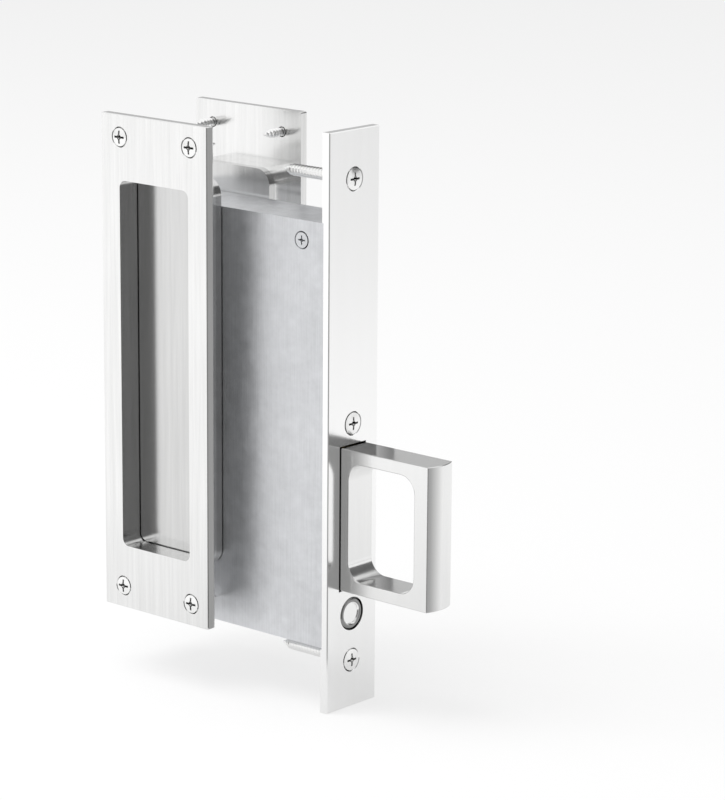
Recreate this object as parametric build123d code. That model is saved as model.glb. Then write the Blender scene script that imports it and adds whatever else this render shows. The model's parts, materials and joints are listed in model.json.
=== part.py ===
from build123d import *
import os

# Pocket door pull set in millimetres. X runs out of the door edge, Y across the door, Z up.
# The origin is the centre of the front plate's rear face.

# Front plate on the door edge
PLATE_LENGTH = 203.2
PLATE_WIDTH = 25.4
PLATE_THICKNESS = 3.2
PLATE_SEAT_DEPTH = 0.6
PLATE_EDGE_BREAK = 0.3

# Spring-out edge pull
GRIP_HEIGHT = 50.8
GRIP_THICKNESS = 12.7
GRIP_PROJECTION = 39.0
GRIP_CROWN = 1.4
GRIP_TOP_DROP = 7.6
GRIP_WINDOW_WIDTH = 29.5
GRIP_WINDOW_HEIGHT = 41.6
GRIP_WINDOW_RADIUS = 6.35
GRIP_WINDOW_SETOFF = 3.5
GRIP_EDGE_RADIUS = 0.4
SLOT_CLEARANCE = 0.45

# Carriage that carries the edge pull inside the case
CARRIAGE_LENGTH = 9.0
CARRIAGE_CHANNEL = 3.0
CARRIAGE_SIDE_PLAY = 0.5
CARRIAGE_SCREW_OFFSET = 14.0
CARRIAGE_SCREW_LENGTH = 10.0
CAP_HEAD_RADIUS = 3.5
CAP_HEAD_HEIGHT = 3.0
TAIL_HEIGHT = 4.5
TAIL_OVERLAP = 2.0
NOTCH_SETBACK = 4.0
NOTCH_LENGTH = 4.0
NOTCH_DEPTH = 1.6
GUIDE_CLEARANCE = 0.25
GUIDE_THICKNESS = 4.0
GUIDE_OVERRUN = 4.0
BUFFER_THICKNESS = 1.2
BUFFER_MARGIN = 3.0
STOP_GAP = 0.1

# Ejector spring on its rod
ROD_RADIUS = 2.5
ROD_LENGTH = 40.0
ROD_BORE_DEPTH = 4.5
SPRING_RADIUS = 4.6
SPRING_WIRE = 1.1
SPRING_TURNS = 7
SPRING_PRESSED_LENGTH = 16.3
ABUTMENT_LENGTH = 6.0
ABUTMENT_HEIGHT = 18.0

# Release button and its bracket
BUTTON_BELOW_GRIP = 9.5
BUTTON_RADIUS = 5.6
BUTTON_RIM_WIDTH = 2.0
BUTTON_RIM_HEIGHT = 0.7
BUTTON_HOLE_CLEARANCE = 0.35
BUTTON_STROKE = 2.5
BUTTON_FLANGE_RADIUS = 6.7
BUTTON_FLANGE_THICKNESS = 1.2
PLUNGER_RADIUS = 3.0
PLUNGER_LENGTH = 13.3
PLUNGER_NOSE = 2.5
BUTTON_SPRING_RADIUS = 4.1
BUTTON_SPRING_WIRE = 0.7
BUTTON_SPRING_TURNS = 3
BRACKET_SETBACK = 8.0
BRACKET_THICKNESS = 4.0
BRACKET_BELOW_BUTTON = 7.0

# Latch lever under the carriage
LEVER_THICKNESS = 3.0
LEVER_HEIGHT = 4.5
LEVER_DROP = 1.5
LEVER_EYE_RADIUS = 4.0
LEVER_PIN_RADIUS = 1.5
LEVER_PIN_SETOFF = 5.7
LEVER_TOOTH_LENGTH = 3.2
LEVER_FOOT_DROP = 5.8
LEVER_FOOT_LENGTH = 9.0
LEVER_NOSE_GAP = 0.35
LEAF_THICKNESS = 0.5
LEAF_WIDTH = 8.0
LEAF_HALF_SPAN = 13.0
LEAF_GAP = 0.1

# Case of folded sheet
CASE_THICKNESS = 23.8
CASE_WALL = 1.6
CASE_HEIGHT = 149.2
CASE_BELOW_BUTTON = 10.6
CASE_REAR_ROOM = 2.0
CASE_BEND_RADIUS = 2.4
POST_RADIUS = 3.0
POST_INSET = 2.4
FRONT_BLOCK_LENGTH = 10.0
FRONT_BLOCK_TOP = 6.0

# Flush pulls on both door faces
PULL_SETBACK = 69.85
PULL_RAISE = 11.3
PULL_LENGTH = 177.8
PULL_WIDTH = 50.8
PULL_FLANGE = 3.2
PULL_CORNER_RADIUS = 0.6
PULL_EDGE_BREAK = 0.3
WINDOW_LENGTH = 131.8
WINDOW_WIDTH = 33.0
WINDOW_RADIUS = 2.75
RECESS_DEPTH = 8.8
SLEEVE_WALL = 3.1
BACK_LAND = 1.6
BACK_FLANGE = 2.825
BACK_JOINT_GAP = 0.35
BEARING_GAP = 0.3
PULL_SCREW_INSET_X = 8.7
PULL_SCREW_INSET_Z = 7.9
PULL_SCREW_STAGGER = 0.35

# Screws, as head radius, body radius and length
PLATE_SCREW_HEAD = 3.8
PLATE_SCREW_BODY = 1.7
PLATE_SCREW_LENGTH = 31.8
PLATE_SCREW_BEYOND_CASE = 6.2
MACHINE_SCREW_BODY = 2.0
MACHINE_SCREW_LENGTH = 11.0
PULL_SCREW_HEAD = 3.2
PULL_SCREW_BODY = 1.2
PULL_SCREW_LENGTH = 12.7
SMALL_SCREW_HEAD = 2.7
SMALL_SCREW_BODY = 1.5
SMALL_SCREW_LENGTH = 6.0
SCREW_DOME = 0.35
SCREW_SHANK_STEP = 0.3
SCREW_TIP = 4.0
SCREW_POINT = 0.3
HEAD_CLEARANCE = 0.5
HOLE_CLEARANCE = 0.4
CROSS_SPAN = 4.6
CROSS_WIDTH = 0.72
CROSS_DEPTH = 1.9
CROSS_TAPER = 8
CROSS_HUB_RADIUS = 0.95
CROSS_POINT_RADIUS = 0.3
SMALL_CROSS_SCALE = 0.7

# General fits
FIT = 0.02
RUNNING_FIT = 0.05
SEAT_GAP = 0.2

# Places worked out from the sizes
TRAVEL = GRIP_PROJECTION
GRIP_Z = -(GRIP_TOP_DROP + GRIP_HEIGHT / 2)
GRIP_BOTTOM = GRIP_Z - GRIP_HEIGHT / 2
GRIP_TOP = GRIP_Z + GRIP_HEIGHT / 2
STOP_X = PLATE_SEAT_DEPTH - BUFFER_THICKNESS - STOP_GAP
CARRIAGE_REAR = STOP_X - CARRIAGE_LENGTH
GRIP_ROOT_X = STOP_X - CARRIAGE_CHANNEL
ROD_REAR = CARRIAGE_REAR - ROD_LENGTH
ABUTMENT_X = CARRIAGE_REAR - TRAVEL - SPRING_PRESSED_LENGTH
CASE_INNER_REAR = ROD_REAR - TRAVEL - CASE_REAR_ROOM
CASE_REAR = CASE_INNER_REAR - CASE_WALL
BUTTON_Z = GRIP_BOTTOM - BUTTON_BELOW_GRIP
CASE_BOTTOM = BUTTON_Z - CASE_BELOW_BUTTON
CASE_TOP = CASE_BOTTOM + CASE_HEIGHT
CASE_HALF = CASE_THICKNESS / 2
INNER_HALF = CASE_HALF - CASE_WALL
INNER_BOTTOM = CASE_BOTTOM + CASE_WALL
INNER_TOP = CASE_TOP - CASE_WALL
PLATE_SCREW_Z = max(CASE_TOP, -CASE_BOTTOM) + PLATE_SCREW_BEYOND_CASE
GUIDE_REAR = CARRIAGE_REAR - TRAVEL - GUIDE_OVERRUN
GUIDE_FRONT = STOP_X - BUTTON_FLANGE_THICKNESS - BUTTON_STROKE
UPPER_GUIDE_Z = GRIP_TOP + GUIDE_CLEARANCE + GUIDE_THICKNESS / 2
LOWER_GUIDE_Z = GRIP_BOTTOM - GUIDE_CLEARANCE - GUIDE_THICKNESS / 2
NOTCH_FRONT = STOP_X - NOTCH_SETBACK
TOOTH_FRONT = NOTCH_FRONT - TRAVEL - (NOTCH_LENGTH - LEVER_TOOTH_LENGTH) / 2
TOOTH_REAR = TOOTH_FRONT - LEVER_TOOTH_LENGTH
TAIL_REAR = TOOTH_REAR - TAIL_OVERLAP
LEVER_TOP = LOWER_GUIDE_Z - GUIDE_THICKNESS / 2 - LEVER_DROP
LEVER_BOTTOM = LEVER_TOP - LEVER_HEIGHT
LEVER_PIN_X = CASE_INNER_REAR + LEVER_PIN_SETOFF
LEVER_PIN_Z = (LEVER_TOP + LEVER_BOTTOM) / 2
FLANGE_FRONT = PLATE_SEAT_DEPTH - STOP_GAP
FLANGE_REAR = FLANGE_FRONT - BUTTON_FLANGE_THICKNESS
NOSE_BASE = FLANGE_REAR - PLUNGER_LENGTH
NOSE_TIP = NOSE_BASE - PLUNGER_NOSE
BRACKET_X = -BRACKET_SETBACK
PULL_X = PLATE_THICKNESS - PULL_SETBACK
PULL_FACE = CASE_HALF + BEARING_GAP + BACK_FLANGE + BACK_LAND + RECESS_DEPTH - PULL_FLANGE
PULL_SCREW_X = PULL_WIDTH / 2 - PULL_SCREW_INSET_X
PULL_SCREW_Z = PULL_LENGTH / 2 - PULL_SCREW_INSET_Z
SLEEVE_END = PULL_FACE + PULL_FLANGE - RECESS_DEPTH - BACK_LAND

POSTS = [
    (CASE_INNER_REAR + POST_RADIUS + POST_INSET, INNER_TOP - POST_RADIUS - POST_INSET),
    (-FRONT_BLOCK_LENGTH, INNER_TOP - POST_RADIUS - POST_INSET),
    (CASE_INNER_REAR + POST_RADIUS + POST_INSET, GRIP_Z + ABUTMENT_HEIGHT),
    (ABUTMENT_X - ABUTMENT_LENGTH, INNER_BOTTOM + POST_RADIUS + CASE_BEND_RADIUS - CASE_WALL),
]
FIXINGS = [
    (-FRONT_BLOCK_LENGTH, UPPER_GUIDE_Z),
    (GUIDE_REAR + POST_RADIUS, UPPER_GUIDE_Z),
    (-FRONT_BLOCK_LENGTH, LOWER_GUIDE_Z),
    (TOOTH_FRONT + GUIDE_OVERRUN + POST_RADIUS, LOWER_GUIDE_Z),
    (ABUTMENT_X - ABUTMENT_LENGTH / 2, GRIP_Z + ABUTMENT_HEIGHT / 3),
    (ABUTMENT_X - ABUTMENT_LENGTH / 2, GRIP_Z - ABUTMENT_HEIGHT / 3),
    (BRACKET_X - BRACKET_THICKNESS / 2, BUTTON_Z),
    (-FRONT_BLOCK_LENGTH / 2, 0),
]


def span(x0, x1, y0, y1, z0, z1):
    """Block between two opposite corners."""
    return Pos((x0 + x1) / 2, (y0 + y1) / 2, (z0 + z1) / 2) * Box(x1 - x0, y1 - y0, z1 - z0)


def x_rod(radius, x0, x1, z, y=0):
    """Round bar along X."""
    return Pos((x0 + x1) / 2, y, z) * Rot(0, 90, 0) * Cylinder(radius, x1 - x0)


def y_rod(radius, y0, y1, x, z):
    """Round bar along Y."""
    return Pos(x, (y0 + y1) / 2, z) * Rot(90, 0, 0) * Cylinder(radius, y1 - y0)


def side_profile(points, y0, y1):
    """Closed outline in X and Z, extruded from y0 to y1."""
    face = make_face(Plane.XZ * Polyline(*points, close=True))
    return Pos(0, y0, 0) * extrude(face, amount=y1 - y0, dir=(0, 1, 0))


def cross_recess():
    """Cross recess below the local origin: two tapered wings and a cone between them, open above."""
    wing = Rectangle(CROSS_SPAN, CROSS_WIDTH)
    wing = extrude(wing, amount=-CROSS_DEPTH, taper=CROSS_TAPER) + extrude(wing, amount=SCREW_DOME)
    hub = Pos(0, 0, -CROSS_DEPTH / 2) * Cone(CROSS_POINT_RADIUS, CROSS_HUB_RADIUS, CROSS_DEPTH)
    hub += Pos(0, 0, SCREW_DOME / 2) * Cylinder(CROSS_HUB_RADIUS, SCREW_DOME)
    return wing + Rot(0, 0, 90) * wing + hub


def countersunk_screw(head, body, length, neck, tip, point):
    """Countersunk screw along local Z, its rim at z 0, plain down to the neck and at root size below."""
    shank = body + SCREW_SHANK_STEP
    outline = Polyline(
        (head, 0),
        (shank, shank - head),
        (shank, -neck),
        (body, -neck),
        (body, tip - length),
        (point, -length),
        (0, -length),
        (0, SCREW_DOME),
    )
    dome = ThreePointArc((0, SCREW_DOME), (head / 2, SCREW_DOME * 0.75), (head, 0))
    return revolve(make_face(Plane.XZ * Curve(outline.edges() + [dome])), Axis.Z)


def wood_screw(head, body, length, neck):
    """Pointed screw with a cross recess."""
    return countersunk_screw(head, body, length, neck, SCREW_TIP, SCREW_POINT) - cross_recess()


def machine_screw(head, body, length, neck):
    """Blunt screw for a tapped hole."""
    return countersunk_screw(head, body, length, neck, SCREW_SHANK_STEP, body - SCREW_SHANK_STEP)


def countersink(head, body, depth):
    """Tool for a countersunk hole from local z 0 downwards."""
    rim = head + HEAD_CLEARANCE
    bore = body + SCREW_SHANK_STEP + HOLE_CLEARANCE
    cone = Pos(0, 0, -(rim - bore) / 2) * Cone(bore, rim, rim - bore)
    return cone + Pos(0, 0, -depth / 2) * Cylinder(bore, depth)


def coil(radius, wire, length, turns):
    """Coil spring from local z 0 to its length."""
    path = Helix(pitch=(length - wire) / turns, height=length - wire, radius=radius)
    section = Plane(origin=path @ 0, z_dir=path % 0) * Rectangle(wire, wire)
    return Pos(0, 0, wire / 2) * sweep(section, path=path, is_frenet=True)


def front_face(z):
    """Place on the front plate's outer face, local Z out of the door edge."""
    return Pos(PLATE_THICKNESS, 0, z) * Rot(0, 90, 0)


def front_plate():
    plate = span(0, PLATE_THICKNESS, -PLATE_WIDTH / 2, PLATE_WIDTH / 2, -PLATE_LENGTH / 2, PLATE_LENGTH / 2)
    plate = chamfer(plate.faces().sort_by(Axis.X)[-1].edges(), PLATE_EDGE_BREAK)
    plate -= span(0, PLATE_SEAT_DEPTH, -PLATE_WIDTH, PLATE_WIDTH, CASE_BOTTOM - SEAT_GAP, CASE_TOP + SEAT_GAP)
    slot = Rectangle(GRIP_HEIGHT + 2 * SLOT_CLEARANCE, GRIP_THICKNESS + 2 * SLOT_CLEARANCE)
    plate -= front_face(GRIP_Z) * extrude(slot, amount=-PLATE_THICKNESS)
    plate -= x_rod(BUTTON_RADIUS + BUTTON_HOLE_CLEARANCE, 0, PLATE_THICKNESS, BUTTON_Z)
    for z in (PLATE_SCREW_Z, 0, -PLATE_SCREW_Z):
        plate -= front_face(z) * countersink(PLATE_SCREW_HEAD, PLATE_SCREW_BODY, PLATE_THICKNESS)
    return plate


def front_plate_screws():
    screw = wood_screw(PLATE_SCREW_HEAD, PLATE_SCREW_BODY, PLATE_SCREW_LENGTH, PLATE_THICKNESS)
    return [front_face(z) * screw for z in (PLATE_SCREW_Z, -PLATE_SCREW_Z)]


def front_plate_machine_screw():
    neck = PLATE_THICKNESS - PLATE_SEAT_DEPTH
    screw = machine_screw(PLATE_SCREW_HEAD, MACHINE_SCREW_BODY, MACHINE_SCREW_LENGTH, neck)
    return front_face(0) * (screw - cross_recess())


def edge_pull():
    """Loop handle with a crowned nose, its root seated in the carriage channel."""
    half = GRIP_THICKNESS / 2
    corner = PLATE_THICKNESS + GRIP_PROJECTION
    sides = Polyline((corner, half), (GRIP_ROOT_X, half), (GRIP_ROOT_X, -half), (corner, -half))
    nose = ThreePointArc((corner, -half), (corner + GRIP_CROWN, 0), (corner, half))
    top_view = make_face(Curve(sides.edges() + [nose]))
    loop = Pos(0, 0, GRIP_BOTTOM) * extrude(top_view, amount=GRIP_HEIGHT)
    window_x = PLATE_THICKNESS + GRIP_WINDOW_SETOFF + GRIP_WINDOW_WIDTH / 2
    window = RectangleRounded(GRIP_WINDOW_WIDTH, GRIP_WINDOW_HEIGHT, GRIP_WINDOW_RADIUS)
    cut = Pos(window_x, half, GRIP_Z) * Rot(90, 0, 0) * extrude(window, amount=GRIP_THICKNESS)
    outer = loop.edges().filter_by(lambda e: e.center().X > GRIP_ROOT_X + FIT)
    loop = fillet(outer, GRIP_EDGE_RADIUS) - cut
    rim = loop.edges().filter_by(lambda e: abs(e.center().Y) > half - FIT).filter_by(
        lambda e: abs(e.center().Z - GRIP_Z) < GRIP_WINDOW_HEIGHT / 2 + FIT
        and abs(e.center().X - window_x) < GRIP_WINDOW_WIDTH / 2 + FIT
    )
    loop = fillet(rim, GRIP_EDGE_RADIUS)
    for side in (1, -1):
        z = GRIP_Z + side * CARRIAGE_SCREW_OFFSET
        loop -= x_rod(
            MACHINE_SCREW_BODY + FIT, GRIP_ROOT_X, GRIP_ROOT_X + CARRIAGE_SCREW_LENGTH, z
        )
    return loop


def pull_carriage():
    """Sliding block with a channel for the edge pull and a tail bar with the latch notch."""
    half = INNER_HALF - CARRIAGE_SIDE_PLAY
    block = span(CARRIAGE_REAR, STOP_X, -half, half, GRIP_BOTTOM, GRIP_TOP)
    block += span(
        TAIL_REAR, CARRIAGE_REAR, -LEVER_THICKNESS / 2, LEVER_THICKNESS / 2,
        GRIP_BOTTOM, GRIP_BOTTOM + TAIL_HEIGHT,
    )
    root = GRIP_THICKNESS / 2 + FIT
    block -= span(GRIP_ROOT_X - FIT, STOP_X, -root, root, GRIP_BOTTOM, GRIP_TOP)
    block -= span(
        NOTCH_FRONT - NOTCH_LENGTH, NOTCH_FRONT, -LEVER_THICKNESS, LEVER_THICKNESS,
        GRIP_BOTTOM, GRIP_BOTTOM + NOTCH_DEPTH,
    )
    block -= x_rod(ROD_RADIUS + FIT, CARRIAGE_REAR, CARRIAGE_REAR + ROD_BORE_DEPTH, GRIP_Z)
    for side in (1, -1):
        z = GRIP_Z + side * CARRIAGE_SCREW_OFFSET
        block -= x_rod(MACHINE_SCREW_BODY + FIT, CARRIAGE_REAR, STOP_X, z)
        block -= x_rod(
            CAP_HEAD_RADIUS + HEAD_CLEARANCE, CARRIAGE_REAR, CARRIAGE_REAR + CAP_HEAD_HEIGHT, z
        )
    return block


def carriage_screws():
    seat = CARRIAGE_REAR + CAP_HEAD_HEIGHT
    end = seat + CARRIAGE_SCREW_LENGTH
    socket = Pos(CARRIAGE_REAR, 0, 0) * Rot(0, 90, 0) * extrude(
        RegularPolygon(CAP_HEAD_RADIUS / 2, 6), amount=CAP_HEAD_HEIGHT / 2
    )
    screw = x_rod(CAP_HEAD_RADIUS, CARRIAGE_REAR, seat, 0) + x_rod(MACHINE_SCREW_BODY, seat, end, 0) - socket
    return [Pos(0, 0, GRIP_Z + side * CARRIAGE_SCREW_OFFSET) * screw for side in (1, -1)]


def spring_rod():
    rod = x_rod(ROD_RADIUS, ROD_REAR, CARRIAGE_REAR + ROD_BORE_DEPTH, GRIP_Z)
    return chamfer(rod.faces().sort_by(Axis.X)[0].edges(), ROD_RADIUS / 3)


def ejector_spring():
    length = CARRIAGE_REAR - ABUTMENT_X
    return Pos(ABUTMENT_X, 0, GRIP_Z) * Rot(0, 90, 0) * coil(SPRING_RADIUS, SPRING_WIRE, length, SPRING_TURNS)


def tapped_fixings(z0, z1, x0, x1):
    """Holes for the case fixing screws that fall inside the given region."""
    inside = [(x, z) for x, z in FIXINGS if x0 < x < x1 and z0 < z < z1]
    return [
        y_rod(SMALL_SCREW_BODY + FIT, CASE_HALF - SMALL_SCREW_LENGTH, INNER_HALF, x, z) for x, z in inside
    ]


def inner_block(x0, x1, z0, z1):
    """Block screwed to the case wall, just clear of the cover, with its tapped holes."""
    return span(x0, x1, SEAT_GAP - INNER_HALF, INNER_HALF, z0, z1) - tapped_fixings(z0, z1, x0, x1)


def spring_abutment():
    half = ABUTMENT_HEIGHT / 2
    block = inner_block(ABUTMENT_X - ABUTMENT_LENGTH, ABUTMENT_X, GRIP_Z - half, GRIP_Z + half)
    return block - x_rod(ROD_RADIUS + HEAD_CLEARANCE, ABUTMENT_X - ABUTMENT_LENGTH, ABUTMENT_X, GRIP_Z)


def upper_guide():
    half = GUIDE_THICKNESS / 2
    return inner_block(GUIDE_REAR, STOP_X, UPPER_GUIDE_Z - half, UPPER_GUIDE_Z + half)


def lower_guide():
    """Lower guide, slotted so that the lever's tooth reaches the carriage."""
    half = GUIDE_THICKNESS / 2
    guide = inner_block(GUIDE_REAR, GUIDE_FRONT, LOWER_GUIDE_Z - half, LOWER_GUIDE_Z + half)
    width = LEVER_THICKNESS / 2 + SLOT_CLEARANCE
    reach = LEVER_TOOTH_LENGTH
    return guide - span(
        TOOTH_REAR - reach, TOOTH_FRONT + reach, -width, width, LOWER_GUIDE_Z - half, LOWER_GUIDE_Z + half
    )


def stop_buffers():
    """Soft strips behind the front plate, one each side of the slot."""
    inner = GRIP_THICKNESS / 2 + SLOT_CLEARANCE
    outer = INNER_HALF - CARRIAGE_SIDE_PLAY
    low, high = GRIP_BOTTOM + BUFFER_MARGIN, GRIP_TOP - BUFFER_MARGIN
    strip = span(PLATE_SEAT_DEPTH - BUFFER_THICKNESS, PLATE_SEAT_DEPTH, inner, outer, low, high)
    return [strip, mirror(strip, about=Plane.XZ)]


def release_button():
    """Turned button: dished cap with a rolled rim, retaining flange, plunger and cone nose."""
    dish_x = PLATE_THICKNESS - BUTTON_RIM_HEIGHT
    dish_radius = BUTTON_RADIUS - BUTTON_RIM_WIDTH
    crest = (PLATE_THICKNESS, BUTTON_RADIUS - BUTTON_RIM_WIDTH / 2)
    rim = ThreePointArc((dish_x, dish_radius), crest, (dish_x, BUTTON_RADIUS))
    outline = Polyline(
        (dish_x, BUTTON_RADIUS),
        (FLANGE_FRONT, BUTTON_RADIUS),
        (FLANGE_FRONT, BUTTON_FLANGE_RADIUS),
        (FLANGE_REAR, BUTTON_FLANGE_RADIUS),
        (FLANGE_REAR, PLUNGER_RADIUS),
        (NOSE_BASE, PLUNGER_RADIUS),
        (NOSE_TIP, PLUNGER_RADIUS - PLUNGER_NOSE),
        (NOSE_TIP, 0),
        (dish_x, 0),
        (dish_x, dish_radius),
    )
    return Pos(0, 0, BUTTON_Z) * revolve(make_face(Curve(outline.edges() + [rim])), Axis.X)


def button_spring():
    length = FLANGE_REAR - BRACKET_X
    spring = coil(BUTTON_SPRING_RADIUS, BUTTON_SPRING_WIRE, length, BUTTON_SPRING_TURNS)
    return Pos(BRACKET_X, 0, BUTTON_Z) * Rot(0, 90, 0) * spring


def button_bracket():
    top = LOWER_GUIDE_Z - GUIDE_THICKNESS / 2 - SEAT_GAP
    block = inner_block(BRACKET_X - BRACKET_THICKNESS, BRACKET_X, BUTTON_Z - BRACKET_BELOW_BUTTON, top)
    return block - x_rod(PLUNGER_RADIUS + RUNNING_FIT, BRACKET_X - BRACKET_THICKNESS, BRACKET_X, BUTTON_Z)


def latch_lever():
    """Flat lever with an eye, a tooth below the carriage and a ramped foot behind the plunger."""
    foot_front = NOSE_BASE - LEVER_NOSE_GAP
    foot_bottom = BUTTON_Z - LEVER_FOOT_DROP
    ramp_x = NOSE_BASE - PLUNGER_RADIUS
    ramp_low = BUTTON_Z - (foot_front - ramp_x) - LEVER_NOSE_GAP
    ramp_top_x = ramp_x - (LEVER_TOP - BUTTON_Z) - LEVER_NOSE_GAP
    foot_rear = foot_front - LEVER_FOOT_LENGTH
    tooth_top = GRIP_BOTTOM - GUIDE_CLEARANCE
    outline = [
        (LEVER_PIN_X, LEVER_TOP),
        (TOOTH_REAR, LEVER_TOP),
        (TOOTH_REAR, tooth_top),
        (TOOTH_FRONT - NOTCH_DEPTH / 2, tooth_top),
        (TOOTH_FRONT, tooth_top - NOTCH_DEPTH / 2),
        (TOOTH_FRONT, LEVER_TOP),
        (ramp_top_x, LEVER_TOP),
        (foot_front, ramp_low),
        (foot_front, foot_bottom),
        (foot_rear, foot_bottom),
        (foot_rear - (LEVER_BOTTOM - foot_bottom), LEVER_BOTTOM),
        (LEVER_PIN_X, LEVER_BOTTOM),
    ]
    half = LEVER_THICKNESS / 2
    lever = side_profile(outline, -half, half)
    lever += y_rod(LEVER_EYE_RADIUS, -half, half, LEVER_PIN_X, LEVER_PIN_Z)
    return lever - y_rod(LEVER_PIN_RADIUS + RUNNING_FIT, -half, half, LEVER_PIN_X, LEVER_PIN_Z)


def lever_pin():
    return y_rod(LEVER_PIN_RADIUS, -CASE_HALF, CASE_HALF, LEVER_PIN_X, LEVER_PIN_Z)


def lever_spring():
    """Bowed leaf that stands on the case floor and bears up on the lever."""
    middle = TOOTH_REAR
    crown = LEVER_BOTTOM - LEAF_GAP
    left, right = middle - LEAF_HALF_SPAN, middle + LEAF_HALF_SPAN
    inset = LEAF_THICKNESS
    top = ThreePointArc((left, INNER_BOTTOM), (middle, crown), (right, INNER_BOTTOM))
    under = ThreePointArc(
        (right - inset, INNER_BOTTOM), (middle, crown - LEAF_THICKNESS), (left + inset, INNER_BOTTOM)
    )
    toes = [
        Line((right, INNER_BOTTOM), (right - inset, INNER_BOTTOM)),
        Line((left + inset, INNER_BOTTOM), (left, INNER_BOTTOM)),
    ]
    leaf = make_face(Plane.XZ * Curve([top, under] + toes))
    return Pos(0, -LEAF_WIDTH / 2, 0) * extrude(leaf, amount=LEAF_WIDTH, dir=(0, 1, 0))


def case_body():
    """Folded tray: far wall, top, bottom and rear wall, open at the cover side and at the front."""
    outer = span(CASE_REAR, PLATE_SEAT_DEPTH, -INNER_HALF, CASE_HALF, CASE_BOTTOM, CASE_TOP)
    bends = outer.edges().filter_by(lambda e: e.center().X < PLATE_SEAT_DEPTH - FIT)
    bends = bends.filter_by(lambda e: e.center().Y > FIT - INNER_HALF)
    outer = fillet(bends, CASE_BEND_RADIUS)
    inner = span(CASE_INNER_REAR, PLATE_SEAT_DEPTH, -INNER_HALF, INNER_HALF, INNER_BOTTOM, INNER_TOP)
    bends = inner.edges().filter_by(lambda e: e.center().X < PLATE_SEAT_DEPTH - FIT)
    bends = bends.filter_by(lambda e: e.center().Y > FIT - INNER_HALF)
    tray = outer - fillet(bends, CASE_BEND_RADIUS - CASE_WALL)
    hole = countersink(SMALL_SCREW_HEAD, SMALL_SCREW_BODY, CASE_WALL)
    for x, z in FIXINGS:
        tray -= Pos(x, CASE_HALF, z) * Rot(-90, 0, 0) * hole
    return tray - y_rod(LEVER_PIN_RADIUS + FIT, INNER_HALF, CASE_HALF, LEVER_PIN_X, LEVER_PIN_Z)


def case_cover():
    """Flat cover on the near side."""
    middle = (CASE_REAR + PLATE_SEAT_DEPTH) / 2
    sheet = Rectangle(PLATE_SEAT_DEPTH - CASE_REAR, CASE_HEIGHT)
    rear_corners = sheet.vertices().sort_by(Axis.X)[:2]
    sheet = fillet(rear_corners, CASE_BEND_RADIUS)
    place = Pos(middle, -INNER_HALF, CASE_BOTTOM + CASE_HEIGHT / 2) * Rot(90, 0, 0)
    cover = place * extrude(sheet, amount=CASE_WALL)
    hole = countersink(SMALL_SCREW_HEAD, SMALL_SCREW_BODY, CASE_WALL)
    for x, z in POSTS:
        cover -= Pos(x, -CASE_HALF, z) * Rot(90, 0, 0) * hole
    return cover - y_rod(LEVER_PIN_RADIUS + FIT, -CASE_HALF, -INNER_HALF, LEVER_PIN_X, LEVER_PIN_Z)


def cover_posts():
    bore = y_rod(SMALL_SCREW_BODY + FIT, -INNER_HALF, SMALL_SCREW_LENGTH - INNER_HALF, 0, 0)
    post = y_rod(POST_RADIUS, -INNER_HALF, INNER_HALF, 0, 0) - bore
    return [Pos(x, 0, z) * post for x, z in POSTS]


def small_screw():
    """Flat-topped countersunk screw for the case."""
    screw = machine_screw(SMALL_SCREW_HEAD, SMALL_SCREW_BODY, SMALL_SCREW_LENGTH, CASE_WALL)
    screw &= Pos(0, 0, -SMALL_SCREW_LENGTH) * Box(CASE_THICKNESS, CASE_THICKNESS, 2 * SMALL_SCREW_LENGTH)
    return screw - scale(cross_recess(), by=SMALL_CROSS_SCALE)


def case_cover_screws():
    return [Pos(x, -CASE_HALF, z) * Rot(90, 0, 0) * small_screw() for x, z in POSTS]


def case_fixing_screws():
    return [Pos(x, CASE_HALF, z) * Rot(-90, 0, 0) * small_screw() for x, z in FIXINGS]


def front_block():
    """Block behind the front plate, tapped for the middle screw."""
    low = UPPER_GUIDE_Z + GUIDE_THICKNESS / 2 + SEAT_GAP
    block = inner_block(-FRONT_BLOCK_LENGTH, PLATE_SEAT_DEPTH, low, FRONT_BLOCK_TOP)
    return block - x_rod(MACHINE_SCREW_BODY + FIT, -FRONT_BLOCK_LENGTH, PLATE_SEAT_DEPTH, 0)


def pull_plane(y):
    """Place on a plane across the door, local Z out of the near face."""
    return Pos(PULL_X, y, PULL_RAISE) * Rot(90, 0, 0)


def pull_screw_places():
    """Screw places, a little off centre so that screws from the two faces pass each other."""
    front = pull_plane(-PULL_FACE - PULL_FLANGE) * Pos(PULL_SCREW_STAGGER, 0, 0)
    return [front * place for place in GridLocations(2 * PULL_SCREW_X, 2 * PULL_SCREW_Z, 2, 2)]


def pull_frame():
    """Flush pull flange with the sleeve walls behind it, cut through by the window."""
    flange = extrude(RectangleRounded(PULL_WIDTH, PULL_LENGTH, PULL_CORNER_RADIUS), amount=PULL_FLANGE)
    flange = chamfer(flange.faces().sort_by(Axis.Z)[-1].edges(), PULL_EDGE_BREAK)
    wall = 2 * SLEEVE_WALL
    sleeve = RectangleRounded(WINDOW_WIDTH + wall, WINDOW_LENGTH + wall, WINDOW_RADIUS + SLEEVE_WALL)
    depth = PULL_FACE - SLEEVE_END
    frame = flange + extrude(sleeve, amount=-depth)
    window = RectangleRounded(WINDOW_WIDTH, WINDOW_LENGTH, WINDOW_RADIUS)
    frame -= Pos(0, 0, -depth) * extrude(window, amount=depth + PULL_FLANGE)
    frame = pull_plane(-PULL_FACE) * frame
    for place in pull_screw_places():
        frame -= place * countersink(PULL_SCREW_HEAD, PULL_SCREW_BODY, PULL_FLANGE)
    return frame


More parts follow.
